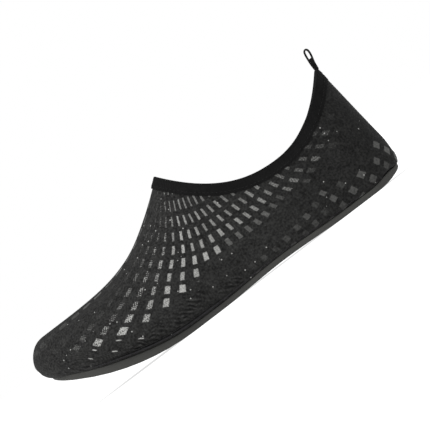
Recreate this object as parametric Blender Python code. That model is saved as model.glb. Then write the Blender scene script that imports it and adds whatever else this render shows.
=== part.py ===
"""A slip-on water shoe for the left foot: rubber sole, foam footbed, stretch upper, collar tape, heel loop.

Metres, +Z up, toe towards +X, outer side of the foot towards +Y, origin below the middle of its box.
Every piece is worked out from one last: ribs that leave the sole's edge, rise round the foot and
meet on the crown line. Behind the throat the crown is only imagined, and the collar cuts the ribs.
"""

import functools
import math

import bmesh
import bpy
import numpy as np
from mathutils import Vector

# Sizes of the foot that the shoe fits
LENGTH = 0.2568
BALL_WIDTH = 0.0900
INSTEP_HEIGHT = 0.0891
TOE_HEIGHT = 0.0535
HEEL_HEIGHT = 0.0808
COLLAR_LOW_HEIGHT = 0.0525

# Sizes of the sole
SOLE_THICKNESS = 0.0036
SOLE_TOE_EXTRA = 0.0022
SOLE_HEEL_EXTRA = 0.0018
TOE_SPRING = 0.0304
HEEL_LIFT = 0.0056
ARCH_RISE = 0.0016
SOLE_HEEL_INSET = 0.0014
SOLE_TOE_INSET = 0.0055
SOLE_CORNER = 0.0010
SOLE_CHAMFER = 0.0003
SOLE_LIP = 0.0004
GROOVE_WIDTH = 0.0030
GROOVE_DEPTH = 0.0012
GROOVE_MARGIN = 0.0085
GROOVE_PITCH = 0.0115

# Sizes of the soft pieces
UPPER_WALL = 0.0012
UPPER_INSET = 0.0009
BULGE = 0.0030
BULGE_HEIGHT = 0.0105
TAPE_THICKNESS = 0.0006
TAPE_WIDTH = 0.0060
TAPE_EASE = 0.0004
INSOLE_THICKNESS = 0.0030
INSOLE_CORNER = 0.0009
LOOP_TAPE = 0.0008
LOOP_WIDTH = 0.0060
LOOP_RISE = 0.0141
LOOP_NECK = 0.0036
LOOP_NECK_HALF = 0.00092
LOOP_EYE_WIDTH = 0.0039
LOOP_LEG = 0.0120
GAP = 0.0003
INSOLE_INSET = UPPER_INSET + UPPER_WALL + 4 * GAP
SOLE_END = LENGTH - SOLE_TOE_INSET

# Places along the shoe, as shares of LENGTH
HEEL_CENTRE = 0.117
THROAT = 0.494
TOE_CENTRE = 0.935
COLLAR_LOW = 0.235
HEEL_ROUND = 0.125
TOE_ROUND = 0.200
HEEL_FLAT = (0.086, 0.175)
BALL_FLAT = (0.560, 0.625)
HEEL_PEAK = 0.029
TOE_RIM = 0.81
TOE_RIM_SPREAD = 0.12
HEEL_RIM_SPREAD = 0.014
HEEL_GROOVES = (0.050, 0.190)
BALL_GROOVES = (0.535, 0.900)

# Exponents of the curves: how late each one turns away from its flat end
HEEL_LIFT_CURVE = 2.0
TOE_SPRING_CURVE = 2.2
HEEL_OUTLINE_CURVE = 2.05
TOE_OUTLINE_CURVE = 2.5
COLLAR_BACK_CURVE = 2.05
COLLAR_FRONT_CURVE = 2.3

# Outline of the sole: share of LENGTH, half breadth and sway to the outer side as shares of BALL_WIDTH
OUTLINE = {
    "along": (0.00, 0.12, 0.24, 0.35, 0.43, 0.51, 0.59, 0.67, 0.73, 0.79, 0.86, 0.92, 1.00),
    "breadth": (0.34, 0.345, 0.34, 0.33, 0.34, 0.375, 0.435, 0.485, 0.50, 0.50, 0.485, 0.46, 0.43),
    "sway": (0.00, 0.000, 0.02, 0.045, 0.06, 0.060, 0.042, 0.012, -0.01, -0.035, -0.06, -0.075, -0.09),
}

# Crown line: share of LENGTH, height as a share of INSTEP_HEIGHT
CROWN = {
    "along": (0.000, 0.117, 0.235, 0.35, 0.418, 0.457, 0.496, 0.527, 0.566, 0.605),
    "height": (1.620, 1.600, 1.460, 1.29, 1.165, 1.085, 1.000, 0.928, 0.845, 0.770),
}

# Forefoot: share of the way from the last row of CROWN to the toe, share of the drop to TOE_HEIGHT
TOE_CROWN = {
    "along": (0.0, 0.12, 0.25, 0.40, 0.55, 0.75, 1.0),
    "drop": (0.0, 0.38, 0.66, 0.86, 0.95, 0.995, 1.0),
}

# Sections: share of LENGTH, roundness (2 is an ellipse, more is squarer) and bulge as a share of BULGE
SECTIONS = {
    "along": (0.0, 0.117, 0.30, 0.494, 0.60, 0.75, 0.85, 0.935, 1.00),
    "roundness": (2.00, 2.00, 2.00, 1.95, 2.00, 2.25, 2.45, 2.65, 2.65),
    "bulge": (0.85, 0.85, 0.80, 0.80, 0.90, 1.10, 1.45, 1.95, 2.70),
}

# Numbers of ribs in each stretch of one side, of rows up each rib, of slices across the loop, of steps
# round each half circle, and of halvings in each search for a place
HEEL_RIBS = 8
QUARTER_RIBS = 20
VAMP_RIBS = 13
TOE_RIBS = 8
WALL_ROWS = 12
LOOP_SLICES = 4
ARCH_STEPS = 8
GROOVE_STEPS = 4
SEARCH_STEPS = 40

# How much the ribs crowd towards the throat: at the collar, at the sole, and ahead of the throat
THROAT_CROWDING = 2.1
SOLE_CROWDING = 1.2
VAMP_CROWDING = 1.15


def smooth_table(table, column, place):
    """Reads a column of a table at a place, along a smooth curve that doesn't overshoot."""
    xs = table["along"]
    ys = table[column]
    place = min(max(place, xs[0]), xs[-1])
    row = max(i for i in range(len(xs) - 1) if xs[i] <= place)
    steps = [(ys[i + 1] - ys[i]) / (xs[i + 1] - xs[i]) for i in range(len(xs) - 1)]

    def slope(i):
        if i == 0 or i == len(xs) - 1:
            return steps[0] if i == 0 else steps[-1]
        before, after = steps[i - 1], steps[i]
        return 0.0 if before * after <= 0 else 2 * before * after / (before + after)

    span = xs[row + 1] - xs[row]
    t = (place - xs[row]) / span
    return (
        (1 + 2 * t) * (1 - t) ** 2 * ys[row]
        + t * (1 - t) ** 2 * span * slope(row)
        + t * t * (3 - 2 * t) * ys[row + 1]
        + t * t * (t - 1) * span * slope(row + 1)
    )


def sole_underside(x):
    """Height of the sole's underside: flat under heel and ball, raised at arch, heel edge and toe."""
    heel_start, heel_end = (LENGTH * share for share in HEEL_FLAT)
    ball_start, ball_end = (LENGTH * share for share in BALL_FLAT)
    if x < heel_start:
        return HEEL_LIFT * ((heel_start - x) / heel_start) ** HEEL_LIFT_CURVE
    if heel_end < x < ball_start:
        return ARCH_RISE * math.sin(math.pi * (x - heel_end) / (ball_start - heel_end)) ** 2
    if x > ball_end:
        return TOE_SPRING * ((x - ball_end) / (LENGTH - ball_end)) ** TOE_SPRING_CURVE
    return 0.0


def sole_top(x):
    """Height of the sole's upper face, whose rim is thicker round the toe and the back of the heel."""
    share = x / LENGTH
    toe = math.exp(-(((share - TOE_RIM) / TOE_RIM_SPREAD) ** 2))
    heel = math.exp(-((share / HEEL_RIM_SPREAD) ** 2))
    return sole_underside(x) + SOLE_THICKNESS + SOLE_TOE_EXTRA * toe + SOLE_HEEL_EXTRA * heel


def crown(x):
    """Height of the last's crown line, which runs on above the collar behind the throat."""
    share = x / LENGTH
    last = CROWN["along"][-1]
    if share <= last:
        return INSTEP_HEIGHT * smooth_table(CROWN, "height", share)
    start = INSTEP_HEIGHT * CROWN["height"][-1]
    drop = smooth_table(TOE_CROWN, "drop", (share - last) / (TOE_CENTRE - last))
    return start + (TOE_HEIGHT - start) * drop


def collar_height(x):
    """Height of the collar's edge in side view: a curve down from the heel and up to the throat."""
    low = LENGTH * COLLAR_LOW
    if x < low:
        share = (low - x) / (low - LENGTH * HEEL_PEAK)
        return COLLAR_LOW_HEIGHT + (HEEL_HEIGHT - COLLAR_LOW_HEIGHT) * share**COLLAR_BACK_CURVE
    share = (x - low) / (LENGTH * THROAT - low)
    return COLLAR_LOW_HEIGHT + (INSTEP_HEIGHT - COLLAR_LOW_HEIGHT) * share**COLLAR_FRONT_CURVE


def collar_line(x, rise):
    """Height in side view of a line that keeps a distance above or below the collar's edge."""
    step = 1e-4
    slope = (collar_height(x + step) - collar_height(x - step)) / (2 * step)
    return collar_height(x) + rise * math.hypot(1.0, slope)


def sway(x):
    """How far the middle line of the shoe lies towards the outer side."""
    return BALL_WIDTH * smooth_table(OUTLINE, "sway", x / LENGTH)


def half_breadth(x):
    """Half the breadth of the sole, rounded off at the heel and the toe."""
    breadth = BALL_WIDTH * smooth_table(OUTLINE, "breadth", x / LENGTH)
    heel = max(0.0, 1 - (x - SOLE_HEEL_INSET) / (LENGTH * HEEL_ROUND))
    toe = max(0.0, 1 - (SOLE_END - x) / (LENGTH * TOE_ROUND))
    rounding = (1 - heel**HEEL_OUTLINE_CURVE) * (1 - toe**TOE_OUTLINE_CURVE)
    return breadth * math.sqrt(max(0.0, rounding))


class Rib:
    """One line round the last, from the sole's edge to the crown line, in an upright plane."""

    def __init__(self, side, spine_x, edge_x):
        """Stands the rib between a place on the middle line and one on the sole's edge."""
        self.side = side
        self.spine = Vector((spine_x, sway(spine_x), 0.0))
        self.edge = Vector((edge_x, sway(edge_x) + side * half_breadth(edge_x), 0.0))
        self.reach = (self.edge - self.spine).length
        self.out = (self.edge - self.spine) / self.reach
        self.foot_height = sole_top(edge_x) + GAP
        self.top_height = crown(spine_x)
        self.power = smooth_table(SECTIONS, "roundness", spine_x / LENGTH)
        self.bulge = BULGE * smooth_table(SECTIONS, "bulge", edge_x / LENGTH)

    def inset(self, distance):
        """The point of the sole's plan that lies this far inside its edge along the rib."""
        return self.spine + self.out * max(0.0, self.reach - distance)

    def point(self, turn):
        """The outer face of the upper at a turn from 0 at the sole to a quarter circle at the crown."""
        up = math.sin(turn) ** (2 / self.power)
        across = max(0.0, math.cos(turn)) ** (2 / self.power)
        rise = (self.top_height - self.foot_height) * up
        swell = rise / BULGE_HEIGHT * math.exp(1 - rise / BULGE_HEIGHT)
        distance = (self.reach - UPPER_INSET + self.bulge * swell) * across
        place = self.spine + self.out * distance
        return Vector((place.x, place.y, self.foot_height + rise))

    def turn_at(self, rise):
        """The turn where the rib meets the line that keeps this distance from the collar's edge."""
        low, high = 0.0, math.pi / 2
        for _ in range(SEARCH_STEPS):
            middle = (low + high) / 2
            at = self.point(middle)
            if at.z < collar_line(at.x, rise):
                low = middle
            else:
                high = middle
        return low


def throat_at(rise):
    """Where the line that keeps this distance from the collar's edge crosses the crown."""
    low, high = LENGTH * COLLAR_LOW, LENGTH * CROWN["along"][-1]
    for _ in range(SEARCH_STEPS):
        middle = (low + high) / 2
        if collar_line(middle, rise) < crown(middle):
            low = middle
        else:
            high = middle
    return low


def heel_rib(side, share):
    """A rib of the fan round the heel, from the back at 0 to the side at 1."""
    centre = LENGTH * HEEL_CENTRE
    edge = centre - (centre - SOLE_HEEL_INSET) * math.cos(share * math.pi / 2)
    return Rib(side, centre, edge)


def quarter_rib(side, share, throat, crowding):
    """A rib between the heel's fan at 0 and the throat at 1, closer together near the throat."""
    centre = LENGTH * HEEL_CENTRE
    place = throat - (throat - centre) * (1 - share) ** crowding
    return Rib(side, place, place)


def vamp_rib(side, share):
    """A rib between the throat at 0 and the toe's fan at 1."""
    throat = throat_at(0.0)
    place = throat + (LENGTH * TOE_CENTRE - throat) * share**VAMP_CROWDING
    return Rib(side, place, place)


def toe_rib(side, share):
    """A rib of the fan round the toe, from the side at 0 to the tip at 1."""
    centre = LENGTH * TOE_CENTRE
    edge = centre + (SOLE_END - centre) * math.sin(share * math.pi / 2)
    return Rib(side, centre, edge)


def ribs_of(side, crowding):
    """All the ribs of one side from the back of the heel to the tip of the toe."""
    throat = throat_at(0.0)
    found = [heel_rib(side, i / HEEL_RIBS) for i in range(HEEL_RIBS)]
    found += [quarter_rib(side, i / QUARTER_RIBS, throat, crowding) for i in range(QUARTER_RIBS)]
    found += [vamp_rib(side, i / VAMP_RIBS) for i in range(VAMP_RIBS)]
    found += [toe_rib(side, i / TOE_RIBS) for i in range(TOE_RIBS + 1)]
    return found


def ribs_round(crowding=SOLE_CROWDING):
    """The ribs of both sides as one ring: heel, outer side, toe, inner side."""
    return ribs_of(1, crowding) + ribs_of(-1, crowding)[-2:0:-1]


def grid_mesh(name, columns, close_rows=False, merge=1e-6):
    """Joins a ring of columns of points by faces, and merges the points that meet.

    With close_rows, each column is itself a closed loop, as in a tube.
    """
    mesh = bmesh.new()
    rows = [[mesh.verts.new(point) for point in column] for column in columns]
    count = len(rows[0])
    for a, b in zip(rows, rows[1:] + rows[:1]):
        for i in range(count if close_rows else count - 1):
            j = (i + 1) % count
            mesh.faces.new((a[i], b[i], b[j], a[j]))
    bmesh.ops.remove_doubles(mesh, verts=mesh.verts, dist=merge)
    bmesh.ops.dissolve_degenerate(mesh, edges=mesh.edges, dist=merge)
    bmesh.ops.recalc_face_normals(mesh, faces=mesh.faces)
    data = bpy.data.meshes.new(name)
    mesh.to_mesh(data)
    mesh.free()
    return data


def material(name, colour, roughness, metallic=0.0):
    """A plain surface of one colour."""
    made = bpy.data.materials.new(name)
    made.use_nodes = True
    shader = made.node_tree.nodes["Principled BSDF"]
    shader.inputs["Base Color"].default_value = (*colour, 1.0)
    shader.inputs["Roughness"].default_value = roughness
    shader.inputs["Metallic"].default_value = metallic
    return made


def add_object(name, data, surface):
    """Puts a mesh into the scene under its piece's name, shaded smooth."""
    made = bpy.data.objects.new(name, data)
    bpy.context.scene.collection.objects.link(made)
    data.materials.append(surface)
    data.shade_smooth()
    data.set_sharp_from_angle(angle=math.radians(40))
    return made


def row_shares():
    """Where the rows of the upper lie up a rib, with a half row more at the sole and at the collar."""
    steps = [i / WALL_ROWS for i in range(WALL_ROWS + 1)]
    return [0.0, steps[1] / 2] + steps[1:-1] + [(1 + steps[-2]) / 2, 1.0]


def build_upper(surface):
    """The stretch upper: one wall from the sole's edge to the collar, closed over the vamp and toe."""
    columns = []
    for top, foot in zip(ribs_round(THROAT_CROWDING), ribs_round()):
        reaches_crown = top.top_height - collar_line(top.spine.x, 0.0) < 1e-5
        turn = math.pi / 2 if reaches_crown else top.turn_at(0.0)
        column = []
        for share in row_shares():
            rib = top
            if top.spine.x != foot.spine.x:
                place = foot.spine.x + (top.spine.x - foot.spine.x) * share
                rib = Rib(top.side, place, place)
            column.append(rib.point(turn * share))
        columns.append(column)
    data = grid_mesh("upper", columns, merge=2e-5)
    upper = add_object("upper", data, surface)
    wall = upper.modifiers.new("Wall", "SOLIDIFY")
    wall.thickness = UPPER_WALL
    wall.offset = -1.0
    wall.use_even_offset = True
    wall.use_rim = True
    return upper


@functools.cache
def collar_loop(rise):
    """Points round the collar at a distance above its edge, from the heel along the outer side."""
    throat = throat_at(rise)

    def half(side):
        ribs = [heel_rib(side, i / HEEL_RIBS) for i in range(HEEL_RIBS)]
        ribs += [quarter_rib(side, i / QUARTER_RIBS, throat, THROAT_CROWDING) for i in range(QUARTER_RIBS)]
        return [rib.point(rib.turn_at(rise)) for rib in ribs]

    at_throat = Rib(1, throat, throat).point(math.pi / 2)
    return half(1) + [at_throat] + half(-1)[:0:-1]


def build_collar_tape(surface):
    """The elastic tape folded over the collar's edge, in section a narrow U."""
    outer_face = TAPE_EASE + TAPE_THICKNESS
    inner_face = UPPER_WALL + TAPE_EASE
    fold_in, fold_out = TAPE_EASE, TAPE_EASE + TAPE_THICKNESS
    # How far each point of the section stands above the edge, and out from the upper's face
    section = (
        (-TAPE_WIDTH, TAPE_EASE),
        (-TAPE_WIDTH, outer_face),
        (-TAPE_WIDTH / 2, outer_face),
        (0.0, outer_face),
        (fold_out, outer_face / 2),
        (fold_out, -inner_face - TAPE_THICKNESS / 2),
        (0.0, -inner_face - TAPE_THICKNESS),
        (-TAPE_WIDTH / 2, -inner_face - TAPE_THICKNESS),
        (-TAPE_WIDTH, -inner_face - TAPE_THICKNESS),
        (-TAPE_WIDTH, -inner_face),
        (-TAPE_WIDTH / 2, -inner_face),
        (fold_in, -inner_face),
        (fold_in, TAPE_EASE),
        (-TAPE_WIDTH / 2, TAPE_EASE),
    )
    probe = 4e-4
    columns = []
    count = len(collar_loop(0.0))
    for k in range(count):
        column = []
        for rise, distance in section:
            loop = collar_loop(rise)
            up = collar_loop(rise + probe)[k] - collar_loop(rise - probe)[k]
            along = loop[(k + 1) % count] - loop[k - 1]
            facing = up.cross(along).normalized()
            column.append(loop[k] + facing * distance)
        columns.append(column)
    return add_object("collar_tape", grid_mesh("collar_tape", columns, close_rows=True), surface)


def build_outsole(surface):
    """The rubber sole: its outline swept with a rounded lower edge, dished by the toe spring and arch."""
    # Distance inside the outline, height, and what the height is counted from
    section = (
        (BALL_WIDTH, 0.0, sole_underside),
        (GROOVE_MARGIN, 0.0, sole_underside),
        (SOLE_CORNER, 0.0, sole_underside),
        (SOLE_CHAMFER, SOLE_CHAMFER, sole_underside),
        (0.0, SOLE_CORNER, sole_underside),
        (0.0, -SOLE_LIP, sole_top),
        (SOLE_LIP, 0.0, sole_top),
        (INSOLE_INSET, 0.0, sole_top),
        (GROOVE_MARGIN, 0.0, sole_top),
        (BALL_WIDTH, 0.0, sole_top),
    )
    columns = []
    for rib in ribs_round():
        column = []
        for inset, height, level in section:
            place = rib.inset(inset)
            column.append((place.x, place.y, level(place.x) + height))
        columns.append(column)
    outsole = add_object("outsole", grid_mesh("outsole", columns), surface)
    cutter = build_groove_cutter()
    cutter.parent = outsole
    cut = outsole.modifiers.new("Flex grooves", "BOOLEAN")
    cut.operation = "DIFFERENCE"
    cut.object = cutter
    return outsole


def groove_places():
    """Where the flex grooves cross the sole: as many as fit under the heel and under the forefoot."""
    places = []
    for start, end in (HEEL_GROOVES, BALL_GROOVES):
        steps = int(LENGTH * (end - start) / GROOVE_PITCH)
        first = LENGTH * (start + end) / 2 - GROOVE_PITCH * steps / 2
        places += [first + GROOVE_PITCH * i for i in range(steps + 1)]
    return places


def build_groove_cutter():
    """Bars with round ends that cut the flex grooves into the underside, inside its plain rim."""
    mesh = bmesh.new()
    for place in groove_places():
        half = half_breadth(place) - GROOVE_MARGIN
        radius = GROOVE_WIDTH / 2
        top = sole_underside(place) + GROOVE_DEPTH
        outline = []
        for side in (1, -1):
            for i in range(GROOVE_STEPS + 1):
                angle = math.pi * i / GROOVE_STEPS
                x = place + side * radius * math.cos(angle)
                y = sway(place) + side * (half - radius + radius * math.sin(angle))
                outline.append((x, y, top))
        face = mesh.faces.new([mesh.verts.new(point) for point in outline])
        down = bmesh.ops.extrude_face_region(mesh, geom=[face])["geom"]
        drop = GROOVE_DEPTH + SOLE_THICKNESS
        moved = [part for part in down if isinstance(part, bmesh.types.BMVert)]
        bmesh.ops.translate(mesh, verts=moved, vec=(0.0, 0.0, -drop))
    bmesh.ops.recalc_face_normals(mesh, faces=mesh.faces)
    data = bpy.data.meshes.new("groove_cutter")
    mesh.to_mesh(data)
    mesh.free()
    cutter = bpy.data.objects.new("groove_cutter", data)
    bpy.context.scene.collection.objects.link(cutter)
    cutter.hide_render = True
    cutter.display_type = "WIRE"
    return cutter


def build_insole(surface):
    """The foam footbed, which lies on the sole inside the upper's wall."""
    # Distance inside the sole's outline and height above the sole's upper face
    section = (
        (BALL_WIDTH, GAP),
        (GROOVE_MARGIN, GAP),
        (INSOLE_INSET, GAP),
        (INSOLE_INSET, GAP + INSOLE_THICKNESS - INSOLE_CORNER),
        (INSOLE_INSET + INSOLE_CORNER, GAP + INSOLE_THICKNESS),
        (GROOVE_MARGIN, GAP + INSOLE_THICKNESS),
        (BALL_WIDTH, GAP + INSOLE_THICKNESS),
    )
    columns = []
    for rib in ribs_round():
        column = []
        for inset, height in section:
            place = rib.inset(inset)
            column.append((place.x, place.y, sole_top(place.x) + height))
        columns.append(column)
    return add_object("insole", grid_mesh("insole", columns), surface)


def heel_line(height):
    """The outer face of the upper at the back of the heel, at a height."""
    rib = heel_rib(1, 0.0)
    low, high = 0.0, math.pi / 2
    for _ in range(SEARCH_STEPS):
        middle = (low + high) / 2
        if rib.point(middle).z < height:
            low = middle
        else:
            high = middle
    return rib.point(low).x


def build_pull_loop(surface):
    """The finger loop: a tape sewn down inside the heel, folded over the collar tape into an eye."""
    back_rib = heel_rib(1, 0.0)
    tape_top = back_rib.point(back_rib.turn_at(TAPE_EASE + TAPE_THICKNESS))
    seat = tape_top.z + 2 * GAP
    behind = tape_top.x - TAPE_EASE - TAPE_THICKNESS
    inside = UPPER_WALL + TAPE_EASE + TAPE_THICKNESS + GAP
    neck_x = (behind + tape_top.x + inside) / 2
    neck_z = seat + LOOP_NECK
    eye_half = LOOP_EYE_WIDTH / 2
    eye_z = seat + LOOP_RISE - eye_half

    leg = []
    for share in (0.0, 0.5, 1.0):
        height = seat - LOOP_LEG * (1 - share)
        leg.append((heel_line(height) + inside, height))

    def arch(radius):
        """A half circle over the top of the eye, from the back to the front."""
        angles = [math.pi * (1 - i / ARCH_STEPS) for i in range(ARCH_STEPS + 1)]
        return [(neck_x + radius * math.cos(a), eye_z + radius * math.sin(a)) for a in angles]

    # Up from the back of the seat, over the eye, down inside the heel and back up to the seat
    outline = [(behind, seat), (behind, seat + LOOP_TAPE / 2), (neck_x - LOOP_NECK_HALF, neck_z)]
    outline += arch(eye_half)
    outline += [(neck_x + LOOP_NECK_HALF, neck_z)]
    outline += [(x + LOOP_TAPE, z) for x, z in reversed(leg)]
    outline += leg
    eye = arch(eye_half - LOOP_TAPE) + [(neck_x, neck_z + LOOP_TAPE)]

    bend = LENGTH * HEEL_CENTRE - tape_top.x
    slices = []
    for k in range(LOOP_SLICES + 1):
        y = LOOP_WIDTH * (k / LOOP_SLICES - 0.5)
        slices.append((y, y * y / (2 * bend)))
    return add_object("pull_loop", prism_with_hole("pull_loop", outline, eye, slices), surface)


def prism_with_hole(name, outline, hole, slices):
    """A flat shape with one hole in the plane of X and Z, carried across Y and bowed forwards."""
    mesh = bmesh.new()
    rings = []
    for y, bow in slices:
        outer = [mesh.verts.new((x + bow, sway(0.0) + y, z)) for x, z in outline]
        inner = [mesh.verts.new((x + bow, sway(0.0) + y, z)) for x, z in hole]
        rings.append((outer, inner))
    for (outer_a, inner_a), (outer_b, inner_b) in zip(rings, rings[1:]):
        for a, b in ((outer_a, outer_b), (inner_a, inner_b)):
            for i in range(len(a)):
                j = (i + 1) % len(a)
                mesh.faces.new((a[i], a[j], b[j], b[i]))
    for outer, inner in (rings[0], rings[-1]):
        edges = []
        for ring in (outer, inner):
            for i in range(len(ring)):
                edges.append(mesh.edges.get((ring[i], ring[(i + 1) % len(ring)])))
        bmesh.ops.triangle_fill(mesh, edges=edges, use_beauty=True)
    bmesh.ops.recalc_face_normals(mesh, faces=mesh.faces)
    data = bpy.data.meshes.new(name)
    mesh.to_mesh(data)
    mesh.free()
    return data


def stand_on_origin(pieces):
    """Moves every piece so that the origin lies below the middle of the whole shoe's box."""
    bpy.context.view_layer.update()
    graph = bpy.context.evaluated_depsgraph_get()
    corners = []
    for piece in pieces:
        corners += [vertex.co.copy() for vertex in piece.evaluated_get(graph).data.vertices]
    points = np.array([corner[:] for corner in corners])
    middle = (points.min(axis=0) + points.max(axis=0)) / 2
    shift = Vector((-middle[0], -middle[1], -points[:, 2].min()))
    for piece in pieces:
        piece.location = shift


def main():
    """Clears the scene and builds the shoe's five pieces."""
    for old in list(bpy.data.objects):
        bpy.data.objects.remove(old, do_unlink=True)
    rubber = material("sole_rubber", (0.042, 0.042, 0.040), 0.72)
    foam = material("footbed_cloth", (0.020, 0.020, 0.021), 0.92)
    jersey = material("stretch_jersey", (0.019, 0.019, 0.020), 0.80)
    elastic = material("collar_elastic", (0.008, 0.008, 0.008), 0.85)
    webbing = material("loop_webbing", (0.009, 0.009, 0.009), 0.88)
    pieces = [
        build_outsole(rubber),
        build_insole(foam),
        build_upper(jersey),
        build_collar_tape(elastic),
        build_pull_loop(webbing),
    ]
    stand_on_origin(pieces)


main()
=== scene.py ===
"""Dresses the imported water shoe: printed jersey, lining, tapes, stitches, footbed, rubber sole, studio.

Metres, +Z up, toe towards +X, outer side of the left foot towards +Y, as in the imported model.
"""

import logging
import math
from dataclasses import dataclass, field
from enum import Enum

import bmesh
import bpy
import numpy as np
from bmesh.types import BMesh
from bpy.types import Material, Mesh, Node, NodeSocket, NodeTree, Object
from mathutils import Matrix, Vector
from mathutils.bvhtree import BVHTree
from mathutils.geometry import interpolate_bezier
from mathutils.kdtree import KDTree


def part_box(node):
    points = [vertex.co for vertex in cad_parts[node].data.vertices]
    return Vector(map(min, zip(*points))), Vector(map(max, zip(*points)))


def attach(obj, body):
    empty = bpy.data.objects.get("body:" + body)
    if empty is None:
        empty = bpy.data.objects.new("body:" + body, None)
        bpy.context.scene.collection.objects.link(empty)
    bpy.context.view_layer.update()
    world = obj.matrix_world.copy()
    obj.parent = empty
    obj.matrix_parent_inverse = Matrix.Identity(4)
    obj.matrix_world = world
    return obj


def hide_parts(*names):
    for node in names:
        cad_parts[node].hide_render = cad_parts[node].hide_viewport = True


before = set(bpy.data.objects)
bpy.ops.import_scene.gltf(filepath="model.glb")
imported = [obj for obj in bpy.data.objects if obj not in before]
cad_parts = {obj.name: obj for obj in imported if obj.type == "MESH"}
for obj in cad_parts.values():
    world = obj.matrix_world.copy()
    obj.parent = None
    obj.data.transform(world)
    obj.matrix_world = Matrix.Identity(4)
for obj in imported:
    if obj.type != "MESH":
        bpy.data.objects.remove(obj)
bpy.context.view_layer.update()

LOG = logging.getLogger("shoe")
MM = 0.001
MERGE = 1e-5
ROOT = "root"
HEEL_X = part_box("upper")[0].x
BEHIND_MM = -15.0
DASH_HIGH = 0.62
VALUE = "NodeSocketFloat"
NOWHERE = (0.0, 0.0, 0.0)

Colour = tuple[float, float, float]
Sockets = bpy.types.bpy_prop_collection
Table = tuple[tuple[float, float], ...]


class Cloth(Enum):
    """The surfaces of the upper, in the order of its material slots."""

    FACE = 0
    LINING = 1


class Blend(Enum):
    """How two colours are put together."""

    MIX = "MIX"
    MULTIPLY = "MULTIPLY"


def own_x(along_mm: float) -> float:
    """Turns millimetres from the back of the heel into a place on the X axis."""
    return HEEL_X + along_mm * MM


def ribs(pitch_mm: float) -> float:
    """Gives the gauge of a knit whose rows lie a pitch apart."""
    return 2 * math.pi / (pitch_mm * MM)


def table_curve(table: Table, place: float | np.ndarray) -> float | np.ndarray:
    """Reads a table of places and values along straight lines, held at the ends."""
    return np.interp(place, *zip(*table))


def from_heel(points: np.ndarray) -> np.ndarray:
    """Gives the places of points along the shoe, in millimetres from the back of the heel."""
    return (points[:, 0] - HEEL_X) / MM


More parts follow.
